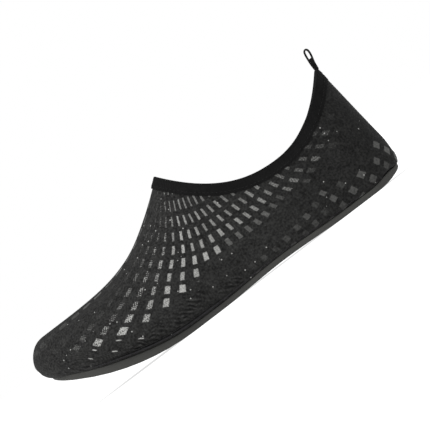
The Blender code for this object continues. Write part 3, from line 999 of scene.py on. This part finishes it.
@dataclass(frozen=True)
class HeelLine:
    """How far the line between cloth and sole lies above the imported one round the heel, by millimetres along."""

    packed: Table = (
        (1.4, 9.9), (3.0, 9.6), (4.0, 8.8), (6.0, 7.3), (8.0, 6.2), (12.0, 5.2), (20.0, 3.95), (60.0, 4.3),
    )
    rise: Table = (
        (2.0, -2.7), (3.0, -2.3), (4.0, -1.8), (6.0, -0.6), (8.0, 0.3), (12.0, 1.4), (14.0, 1.5), (17.5, 1.0),
        (22.0, 0.2), (26.0, 0.0),
    )
    foot_mm: float = 4.5
    foot_under_mm: float = 1.5
    fades_over_mm: float = 1.0
    fades_mm: float = 8.0

    def lift(self, along: np.ndarray, level: np.ndarray) -> np.ndarray:
        """Works out how far points move up: wholly at the line, and less above it and below it.

        Args:
            along: the points' places from the heel, in millimetres.
            level: their heights, in millimetres.

        Returns:
            Millimetres up.
        """
        line = table_curve(self.packed, along)
        foot = np.minimum(self.foot_mm, line - self.foot_under_mm)
        below = np.clip((level - foot) / (line - foot), 0.0, 1.0)
        above = np.clip(1.0 - (level - line - self.fades_over_mm) / self.fades_mm, 0.0, 1.0)
        return table_curve(self.rise, along) * below * above


@dataclass
class PrintedUpper:
    """The stretch upper: outer face with the print, lining, soft creases and fine wrinkles above the sole, the
    wrinkles with painted shade in their troughs and painted highlight on their ridges.
    """

    chart: PrintChart = field(default_factory=PrintChart)
    tones: PrintTones = field(default_factory=PrintTones)
    creases: tuple[Crease, ...] = (
        Crease(True, (150, 57), (128, 24), 6.0, 0.9),
        Crease(True, (162, 50), (146, 20), 7.0, -0.6),
        Crease(True, (176, 40), (160, 16), 7.0, 0.6),
        Crease(True, (60, 60), (30, 34), 9.0, 1.0),
        Crease(True, (44, 66), (16, 48), 8.0, -0.6),
        Crease(True, (96, 36), (70, 16), 9.0, 0.5),
        Crease(False, (152, 56), (126, 26), 6.0, 0.9),
        Crease(False, (168, 46), (148, 18), 7.0, -0.6),
        Crease(False, (64, 56), (32, 36), 9.0, 1.0),
        Crease(False, (104, 40), (78, 18), 9.0, 0.6),
    )
    patches: tuple[WrinklePatch, ...] = (
        WrinklePatch(155, 14, 9, 4.5),
        WrinklePatch(167, 10.5, 6, 3),
        WrinklePatch(182, 13.5, 9, 4.5),
        WrinklePatch(197, 13.5, 7, 3),
        WrinklePatch(230, 22, 7, 2.5),
        WrinklePatch(128, 9, 8, 2.5),
    )
    fill: Table = (
        (-1.5, 0.0), (-0.4, 0.5), (0.0, 1.0), (0.5, 0.97), (1.2, 0.85), (2.0, 0.66), (2.8, 0.45), (3.9, 0.22),
        (5.0, 0.08), (6.5, 0.0),
    )
    fill_mm: float = 0.85
    toe_fill_mm: float = 3.1
    heel_fill_mm: Table = (
        (-1.5, 0.0), (0.0, 0.45), (1.0, 0.65), (2.2, 0.8), (4.4, 0.8), (6.0, 0.4), (8.0, 0.0),
    )
    toe: Table = ((240.0, 0.0), (248.0, 1.0))
    toe_rise: float = 0.5
    heel: Table = ((4.0, 1.0), (12.0, 0.0))
    heel_hem_mm: Table = ((6.0, 0.9), (14.0, 0.0))
    heel_line: HeelLine = field(default_factory=HeelLine)
    # The collar's edge lies above this level and the sole's below it
    parting_mm: Table = ((0.0, 32.0), (257.0, 45.0))
    calm: Table = ((5.0, 0.0), (11.0, 1.0))
    levels: int = 2
    fold_limit_deg: float = 62.0
    seed: int = 11

    def build(self, jersey: Material, lining: Material) -> UpperSurface:
        """Makes the upper.

        Args:
            jersey: the outer face's material.
            lining: the inner face's material.

        Returns:
            The surface, for the pieces that are sewn to it.
        """
        shape = node_shape("upper")
        self.mark_lining(shape)
        data = rounded("upper_jersey", shape, self.levels)
        surface = self.survey(data)
        self.press_creases(surface)
        self.fill_edge(surface)
        self.lay_print(surface)
        piece("upper_jersey", data, "stretch_jersey", "upper", materials=(jersey, lining), sharp_deg=70)
        return surface

    def mark_lining(self, shape: BMesh) -> None:
        """Gives all but the outer face the lining's material, by a flood from the outermost face.

        Args:
            shape: the coarse upper.
        """
        for face in shape.faces:
            face.material_index = Cloth.LINING.value
        start = max(shape.faces, key=lambda f: f.calc_center_median().y)
        start.material_index = Cloth.FACE.value
        waiting = [start]
        limit = math.radians(self.fold_limit_deg)
        while waiting:
            face = waiting.pop()
            for edge in face.edges:
                for other in edge.link_faces:
                    fresh = other.material_index == Cloth.LINING.value
                    if fresh and face.normal.angle(other.normal, math.pi) < limit:
                        other.material_index = Cloth.FACE.value
                        waiting.append(other)

    def survey(self, data: Mesh) -> UpperSurface:
        """Finds the outer face's points and its edges along the sole and the collar.

        Args:
            data: the fine upper.

        Returns:
            The surface.
        """
        points = points_of(data)
        outer, lining = np.zeros((2, len(points)), bool)
        for polygon in data.polygons:
            target = outer if polygon.material_index == Cloth.FACE.value else lining
            target[list(polygon.vertices)] = True
        border = np.flatnonzero(outer & lining)
        low = points[border, 2] < table_curve(self.parting_mm, from_heel(points[border])) * MM
        return UpperSurface(data, outer, points, points_of(data, "normal"), border[low], border[~low])

    def press_creases(self, surface: UpperSurface) -> None:
        """Moves the cloth in and out along the creases, both its faces alike, away from its sewn edges.

        Args:
            surface: the upper.
        """
        folded = surface.folded(surface.points)
        side = surface.points[:, 1] > surface.middle(surface.points[:, 0])
        inwards = sum(crease.push(folded, side) for crease in self.creases)
        tree = point_tree(surface.points, np.concatenate((surface.sole_loop, surface.collar_loop)))
        gaps = np.array([tree.find(point)[2] for point in surface.points]) / MM
        turned = np.where(surface.outer, -1.0, 1.0)
        surface.move(surface.normals * (inwards * table_curve(self.calm, gaps) * turned * MM)[:, None])

    def fill_edge(self, surface: UpperSurface) -> None:
        """Lets the cloth sit out over the sole's rim, most of all at the heel and the toe.

        Args:
            surface: the upper.
        """
        points = surface.points
        along = from_heel(points)
        lift = self.heel_line.lift(along, points[:, 2] / MM)
        points[:, 2] += (lift - table_curve(self.heel_hem_mm, along) * np.clip(-lift, 0.0, 1.0)) * MM
        loop = point_tree(points, surface.sole_loop)
        rim = np.array([loop.find(point)[0].z for point in points]) / MM
        ways = surface.normals * np.where(surface.outer, 1.0, -1.0)[:, None]
        toe = table_curve(self.toe, along)
        ways[:, 2] *= self.toe_rise * toe
        ways /= np.linalg.norm(ways, axis=1)[:, None] + 1e-9
        most = self.fill_mm + (self.toe_fill_mm - self.fill_mm) * toe * np.clip(ways[:, 0], 0.0, 1.0) ** 2
        level = points[:, 2] / MM - rim
        back = table_curve(self.heel, along) * np.clip(-ways[:, 0], 0.0, 1.0) ** 2
        out = table_curve(self.fill, level) * most * (1.0 - back) + table_curve(self.heel_fill_mm, level) * back
        surface.move(ways * (out * MM)[:, None])

    def lay_print(self, surface: UpperSurface) -> None:
        """Writes the print's grid and sizes and the wrinkling into the mesh.

        Args:
            surface: the upper.
        """
        grid = self.chart.warp(surface)
        cells = [tuple(int(v) for v in cell) for cell in np.round(grid)]
        chance = np.random.default_rng(self.seed)
        outer = np.flatnonzero(surface.outer)
        drawn = {cell: self.tones.of(*cell, float(chance.random())) for cell in sorted({cells[i] for i in outer})}
        grid = np.column_stack((grid, np.zeros(len(grid))))
        sizes = np.zeros(grid.shape)
        for i in outer:
            dash = drawn[cells[i]]
            grid[i, 2] = dash.tone
            sizes[i] = (dash.width, dash.height, dash.wear)
        folded = surface.folded(surface.points)
        wrinkling = sum(patch.strength(folded) for patch in self.patches) * surface.outer
        rows = (("print_grid", "FLOAT_VECTOR", grid), ("print_size", "FLOAT_VECTOR", sizes))
        for name, kind, values in (*rows, ("wrinkling", "FLOAT", wrinkling)):
            written = surface.data.attributes.new(name, kind, "POINT").data
            written.foreach_set("value" if kind == "FLOAT" else "vector", values.astype(np.float32).ravel())


@dataclass
class SoftPiece:
    """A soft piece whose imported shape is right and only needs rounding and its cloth."""

    name: str
    node: str
    slot: str
    levels: int

    def build(self, cloth: Material) -> Object:
        """Makes the piece.

        Args:
            cloth: its material.

        Returns:
            The object.
        """
        data = rounded(self.name, node_shape(self.node), self.levels)
        return piece(self.name, data, self.slot, self.node, materials=(cloth,))


@dataclass
class CollarBinding:
    """The elastic binding, drawn onto the cloth so that its edges stand little proud of it."""

    share: float = 0.55
    proud_mm: float = 0.25
    by_lean: Table = ((0.3, 1.0), (0.8, 0.0))
    centre_mm: float = 40.0

    def build(self, surface: UpperSurface, elastic: Material) -> Object:
        """Makes the binding.

        Args:
            surface: the upper that it is sewn to.
            elastic: its material.

        Returns:
            The object.
        """
        made = SoftPiece("collar_binding", "collar_tape", "collar_elastic", 2).build(elastic)
        cloth = surface.tree()
        for vertex in made.data.vertices:
            near, normal, _, _ = cloth.find_nearest(vertex.co)
            proud = (vertex.co - near).dot(normal) - self.proud_mm * MM
            faces_out = vertex.co.y * normal.y + (vertex.co.x - own_x(self.centre_mm)) * normal.x > 0.0
            if proud > 0.0 and faces_out:
                vertex.co -= normal * proud * self.share * table_curve(self.by_lean, abs(normal.z))
        made.data.update()
        return made


def smooth_path(knots: tuple[tuple[float, ...], ...], steps: int) -> list[Vector]:
    """Draws a smooth line through knots.

    Args:
        knots: the places it passes, in order.
        steps: how many points each span gets.

    Returns:
        The points of the line.
    """
    places = [Vector(knot) for knot in knots]
    ends = [2 * places[0] - places[1], *places, 2 * places[-1] - places[-2]]
    line = [places[0]]
    for before, here, there, after in zip(ends, ends[1:], ends[2:], ends[3:]):
        reach = (there - here).length / 3
        leave = here + (there - before).normalized() * reach
        arrive = there - (after - here).normalized() * reach
        line.extend(interpolate_bezier(here, leave, arrive, there, steps + 1)[1:])
    return line


@dataclass
class HeelLoop:
    """The pull loop: one strap that stands on the binding's peak, with a folded wedge between its legs."""

    line_mm: tuple[tuple[float, float, float], ...] = (
        (7.85, 0, 82.4), (7.9, 0, 84.5), (7.9, 0, 87.0), (7.75, 0, 89.5), (7.5, 0, 92.0), (7.15, 0, 94.3),
        (6.55, 0, 95.9), (5.5, 0, 96.5), (4.5, 0, 95.8), (4.2, 0, 94.0), (4.5, 0, 91.6), (5.05, 0, 89.4),
        (5.65, 0, 87.0), (6.0, 0, 84.5), (6.2, 0, 82.4),
    )
    wedge_mm: tuple[float, float, float, float] = (82.6, 90.4, 1.6, 2.0)
    wedge_at_mm: tuple[float, float] = (7.05, 6.3)
    tack_mm: tuple[float, ...] = (78.6, 79.1, 79.6, 80.1)
    tack_step_mm: float = 1.8
    width_mm: float = 5.6
    thick_mm: float = 1.15
    edge_mm: float = 0.2
    sharp_deg: float = 50.0
    across: int = 6
    steps: int = 5

    def build(self, binding: Object, webbing: Material, thread: Material) -> None:
        """Makes the strap, the wedge and the tack's stitches.

        Args:
            binding: the binding that the loop is sewn into.
            webbing: the strap's material.
            thread: the stitches' material.
        """
        middle = node_middle("pull_loop")
        line = smooth_path(self.line_mm, self.steps)
        shape = bmesh.new()
        bmesh.ops.create_grid(shape, x_segments=len(line) - 1, y_segments=self.across, size=0.5)
        for vertex in shape.verts:
            place = line[round((vertex.co.x + 0.5) * (len(line) - 1))]
            vertex.co = (own_x(place.x), middle + vertex.co.y * self.width_mm * MM, place.z * MM)
        shape.normal_update()
        for vertex in shape.verts:
            vertex.co -= vertex.normal * self.thick_mm * MM / 2
        bmesh.ops.solidify(shape, geom=shape.verts[:] + shape.edges[:] + shape.faces[:], thickness=-self.thick_mm * MM)
        bmesh.ops.recalc_face_normals(shape, faces=shape.faces)
        piece("heel_loop", shape, "loop_webbing", "pull_loop", materials=(webbing,), sharp_deg=self.sharp_deg)
        self.add_wedge(middle, webbing)
        tape = mesh_tree(binding.data)
        stitches = []
        for level in self.tack_mm:
            for step in range(3):
                place, out = from_behind(tape, middle + (step - 1) * self.tack_step_mm * MM, level)
                stitches.append(Stitch(place, Vector((0, 1, 0)), out))
        Stitching("loop_tack", "loop_webbing").build(stitches, thread)

    def add_wedge(self, middle: float, webbing: Material) -> None:
        """Fills the fold between the legs over the binding's edge.

        Args:
            middle: the Y of the loop's middle.
            webbing: its material.
        """
        shape = bmesh.new()
        bmesh.ops.create_cube(shape, size=1.0)
        low, high, low_wide, high_wide = self.wedge_mm
        for vertex in shape.verts:
            top = vertex.co.z > 0
            along = self.wedge_at_mm[top] + vertex.co.x * (high_wide if top else low_wide)
            up = (high if top else low) * MM
            vertex.co = (own_x(along), middle + vertex.co.y * (self.width_mm - 2 * self.edge_mm) * MM, up)
        edges = {"geom": shape.edges[:], "offset": self.edge_mm * MM, "segments": 2, "profile": 0.5}
        bmesh.ops.bevel(shape, **edges, affect="EDGES", material=-1)
        piece("loop_wedge", shape, "loop_webbing", materials=(webbing,), sharp_deg=self.sharp_deg)


@dataclass(frozen=True)
class Stitch:
    """One stitch: where it lies, which way it runs and which way is out."""

    place: Vector
    along: Vector
    out: Vector


@dataclass
class Stitching:
    """A row of stitches as small beads of thread."""

    name: str
    slot: str
    long_mm: float = 1.7
    thick_mm: float = 0.36
    sink: float = 0.25

    def build(self, stitches: list[Stitch], thread: Material) -> None:
        """Makes the row.

        Args:
            stitches: the stitches to sew.
            thread: the thread's material.
        """
        bead = bmesh.new()
        bmesh.ops.create_uvsphere(bead, u_segments=6, v_segments=5, radius=MM / 2)
        bmesh.ops.scale(bead, vec=(self.long_mm, self.thick_mm, self.thick_mm), verts=bead.verts)
        pattern = mesh_of(self.name + "_bead", bead)
        shape = bmesh.new()
        for stitch in stitches:
            out = stitch.out.normalized()
            side = out.cross(stitch.along).normalized()
            turn = Matrix((side.cross(out), side, out)).transposed().to_4x4()
            laid = Matrix.Translation(stitch.place + out * self.thick_mm * MM * self.sink) @ turn
            pattern.transform(laid)
            shape.from_mesh(pattern)
            pattern.transform(laid.inverted())
        bpy.data.meshes.remove(pattern)
        piece(self.name, shape, self.slot, materials=(thread,), sharp_deg=180)


@dataclass
class HeelSeam:
    """The flat seam down the back of the heel, with its zigzag stitches."""

    top_mm: float = 74.5
    bottom_mm: float = 12.5
    rise_mm: Table = (
        (-2.6, -0.10), (-2.2, 0.16), (-1.2, 0.22), (0.0, 0.12), (1.2, 0.22), (2.2, 0.16), (2.6, -0.10),
    )
    rows: int = 44
    pitch_mm: float = 1.9
    slant: float = 0.55
    raised_mm: float = 0.10

    def build(self, surface: UpperSurface, jersey: Material, thread: Material) -> None:
        """Makes the strip and its stitches.

        Args:
            surface: the upper that it lies on.
            jersey: the strip's material.
            thread: the stitches' material.
        """
        cloth = surface.tree()
        middle = node_middle("pull_loop")
        shape = bmesh.new()
        bmesh.ops.create_grid(shape, x_segments=len(self.rise_mm) - 1, y_segments=self.rows, size=0.5)
        for vertex in shape.verts:
            across, rise = self.rise_mm[round((vertex.co.x + 0.5) * (len(self.rise_mm) - 1))]
            level = self.bottom_mm + (vertex.co.y + 0.5) * (self.top_mm - self.bottom_mm)
            place, out = from_behind(cloth, middle + across * MM, level)
            vertex.co = place + out * rise * MM
        bmesh.ops.recalc_face_normals(shape, faces=shape.faces)
        if sum(face.normal.x for face in shape.faces) > 0:
            bmesh.ops.reverse_faces(shape, faces=shape.faces)
        piece("heel_seam", shape, "stretch_jersey", materials=(jersey,), sharp_deg=60)
        stitches = []
        for step in range(int((self.top_mm - self.bottom_mm) / self.pitch_mm)):
            level = self.bottom_mm + (step + 0.5) * self.pitch_mm
            place, out = from_behind(cloth, middle, level)
            way = Vector((0.0, 1.0 if step % 2 else -1.0, self.slant))
            stitches.append(Stitch(place + out * self.raised_mm * MM, way, out))
        Stitching("heel_seam_stitches", "stretch_jersey", long_mm=3.4, thick_mm=0.24).build(stitches, thread)


@dataclass
class BindingStitches:
    """The row of stitches that holds the binding to the cloth."""

    below_mm: float = 4.9
    pitch_mm: float = 2.5
    start_out_mm: float = 4.0
    start_down_mm: float = 3.0

    def build(self, surface: UpperSurface, binding: Object, thread: Material) -> None:
        """Sews the row round the collar.

        Args:
            surface: the upper.
            binding: the binding that it is sewn through.
            thread: the thread's material.
        """
        rim = surface.points[surface.collar_loop]
        centre = rim.mean(axis=0)
        even = (rim - centre) / np.ptp(rim, axis=0)
        ring = rim[np.argsort(np.arctan2(even[:, 1], even[:, 0]))]
        steps = np.linalg.norm(np.roll(ring, -1, axis=0) - ring, axis=1)
        lengths = np.concatenate(([0.0], np.cumsum(steps)))
        closed = np.vstack((ring, ring[:1]))
        count = int(lengths[-1] / (self.pitch_mm * MM))
        wanted = np.linspace(0.0, lengths[-1], count, endpoint=False)
        evened = [Vector([np.interp(w, lengths, closed[:, axis]) for axis in range(3)]) for w in wanted]
        tape = mesh_tree(binding.data)
        cloth = surface.tree()
        stitches = []
        for i, here in enumerate(evened):
            along = (evened[(i + 2) % count] - evened[i - 2]).normalized()
            outward = (here - Vector(centre)).normalized()
            outward.z = max(outward.z, 0.0)
            beside = here + outward * self.start_out_mm * MM - Vector((0, 0, self.start_down_mm * MM))
            out = cloth.find_nearest(beside)[1]
            down = out.cross(along)
            down = down if down.z < 0 else -down
            start = here + down.normalized() * self.below_mm * MM + out * self.start_out_mm * MM
            place, face_out, _, _ = tape.ray_cast(start, -out, 3 * self.start_out_mm * MM)
            if place is not None:
                stitches.append(Stitch(place, along, face_out))
        Stitching("binding_stitches", "collar_elastic").build(stitches, thread)
        LOG.info("binding: %d of %d stitches", len(stitches), count)


@dataclass
class RubberSole:
    """The moulded sole, thinning to its toe, with a fine tread underneath."""

    sharp_deg: float = 35.0
    thin_over_mm: float = 6.0
    toe_share: float = 0.72
    toe_drop_mm: float = 1.0
    toe_reach_mm: float = 0.8
    heel_draw_mm: Table = ((1.4, 1.3), (5.0, 0.0))
    heel_line: HeelLine = field(default_factory=HeelLine)
    under: float = -0.55

    def build(self, rubber: Material, tread: Material) -> None:
        """Makes the sole.

        Args:
            rubber: the material of its sides.
            tread: the material of its underside.
        """
        shape = node_shape("outsole")
        for face in shape.faces:
            face.material_index = int(face.normal.z < self.under)
        self.shape_ends(shape)
        piece("moulded_sole", shape, "sole_rubber", "outsole", materials=(rubber, tread), sharp_deg=self.sharp_deg)

    def shape_ends(self, shape: BMesh) -> None:
        """Thins the very toe and draws it out to the cloth, and moves the rim round the heel to its line.

        Args:
            shape: the sole.
        """
        tree = BVHTree.FromBMesh(shape)
        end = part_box("outsole")[1].x
        for vertex in shape.verts:
            along, level = (vertex.co.x - HEEL_X) / MM, vertex.co.z / MM
            near = 1.0 - (end - vertex.co.x) / (self.thin_over_mm * MM)
            if near > 0.0:
                hit = tree.ray_cast(vertex.co + Vector((0, 0, 1e-5)), Vector((0, 0, 1)))[0]
                thick = hit.z - vertex.co.z if hit is not None else 0.0
                lift = thick * (1.0 - self.toe_share) if thick > 0.001 else -self.toe_drop_mm * MM
                vertex.co += Vector((self.toe_reach_mm * MM * near, 0.0, lift * near)) * near
            elif along < self.heel_line.rise[-1][0]:
                drawn = table_curve(self.heel_draw_mm, along)
                vertex.co += Vector((drawn, 0.0, self.heel_line.lift(along, level))) * MM


@dataclass
class Studio:
    """The pale floor, the soft light and the camera at the photograph's angle."""

    aim_along_mm: float = 111.3
    aim_up_mm: float = 49.0
    view_width_mm: float = 265.4
    roll_deg: float = 37.2
    lens_mm: float = 500.0
    sensor_mm: float = 36.0
    floor_half: float = 12.0
    fill: float = 0.30
    glow: float = 0.72
    floor_colour: Colour = (0.46, 0.46, 0.46)
    white: Colour = (1.0, 1.0, 1.0)
    sun_strength: float = 3.4
    sun_angle_deg: float = 70.0
    sun_way: tuple[float, float, float] = (-0.35, -0.45, -1.0)

    def build(self) -> None:
        """Makes the floor, the surroundings, the light and the camera."""
        self.add_floor()
        self.add_world()
        self.add_sun()
        self.add_camera()

    def add_floor(self) -> None:
        """Lays the floor."""
        shape = bmesh.new()
        bmesh.ops.create_grid(shape, x_segments=1, y_segments=1, size=self.floor_half)
        floor = place_object("floor", mesh_of("floor", shape))
        paint = bpy.data.materials.new("pale_floor")
        paint.use_nodes = True
        shader = paint.node_tree.nodes["Principled BSDF"].inputs
        shader["Base Color"].default_value = (*self.floor_colour, 1.0)
        shader["Emission Color"].default_value = (*self.white, 1.0)
        shader["Emission Strength"].default_value = self.glow
        shader["Roughness"].default_value = 0.95
        shader["Specular IOR Level"].default_value = 0.0
        floor.data.materials.append(paint)

    def add_world(self) -> None:
        """Sets white surroundings that light the shoe more softly than they look."""
        world = bpy.data.worlds.new("studio")
        bpy.context.scene.world = world
        world.use_nodes = True
        graph = NodeGraph(world.node_tree)
        sky = world.node_tree.nodes["Background"].inputs
        sky["Color"].default_value = (*self.white, 1.0)
        seen = graph.add("ShaderNodeLightPath").outputs["Is Camera Ray"]
        graph.feed(graph.math("MULTIPLY_ADD", seen, 1.0 - self.fill, self.fill), sky["Strength"])
        bpy.context.scene.view_settings.view_transform = "Standard"

    def add_sun(self) -> None:
        """Adds a broad, soft light from above and in front."""
        sun = bpy.data.lights.new("soft_sun", "SUN")
        sun.energy = self.sun_strength
        sun.angle = math.radians(self.sun_angle_deg)
        lamp = place_object("soft_sun", sun)
        lamp.rotation_euler = Vector(self.sun_way).to_track_quat("-Z", "Y").to_euler()

    def add_camera(self) -> None:
        """Sets the camera on the outer side, level with the shoe and rolled as the photograph is."""
        lens = bpy.data.cameras.new("camera")
        lens.lens = self.lens_mm
        lens.sensor_width = self.sensor_mm
        distance = self.view_width_mm * MM * self.lens_mm / self.sensor_mm
        roll = math.radians(self.roll_deg)
        right = Vector((-math.cos(roll), 0.0, -math.sin(roll)))
        up = Vector((-math.sin(roll), 0.0, math.cos(roll)))
        back = right.cross(up)
        aim = Vector((own_x(self.aim_along_mm), node_middle("upper"), self.aim_up_mm * MM))
        camera = place_object("camera", lens)
        turn = Matrix((right, up, back)).transposed().to_4x4()
        camera.matrix_world = Matrix.Translation(aim + back * distance) @ turn
        bpy.context.scene.camera = camera


def main() -> None:
    """Builds the shoe's pieces in order, and then the studio."""
    logging.basicConfig(level=logging.INFO, format="%(name)s %(message)s")
    groups = Groups.build()
    jersey = JerseyFinish("jersey", (0.017, 0.017, 0.0165), 0.80, 0.10, 0.02).material(groups)
    lining = ClothFinish("lining", (0.020, 0.020, 0.0205), 0.88, 0.10, 0.02).material(groups)
    foam = ClothFinish("footbed_cloth", (0.038, 0.038, 0.040), 0.90, 0.10, 0.02, gauge=5200.0).material(groups)
    elastic = TapeFinish("elastic", (0.0062, 0.0062, 0.0062), 0.82, 0.08).material(groups)
    webbing = TapeFinish("webbing", (0.0085, 0.0085, 0.0085), 0.84, 0.08, gauge=ribs(0.7)).material(groups)
    rubber = RubberFinish("rubber", (0.046, 0.046, 0.043), 0.72, 0.22).material(groups)
    tread = RubberFinish("tread", (0.040, 0.040, 0.038), 0.78, 0.22, cut_mm=0.35).material(groups)
    thread = ThreadFinish("thread", (0.013, 0.013, 0.013), 0.70, 0.15).material(groups)
    seam = ClothFinish("seam_tape", (0.009, 0.009, 0.009), 0.82, 0.10, 0.02, gauge=9000.0).material(groups)
    surface = PrintedUpper().build(jersey, lining)
    HeelSeam().build(surface, seam, thread)
    binding = CollarBinding().build(surface, elastic)
    BindingStitches().build(surface, binding, thread)
    HeelLoop().build(binding, webbing, thread)
    SoftPiece("footbed", "insole", "footbed_cloth", 1).build(foam)
    RubberSole().build(rubber, tread)
    Studio().build()


if __name__ == "__main__":
    main()
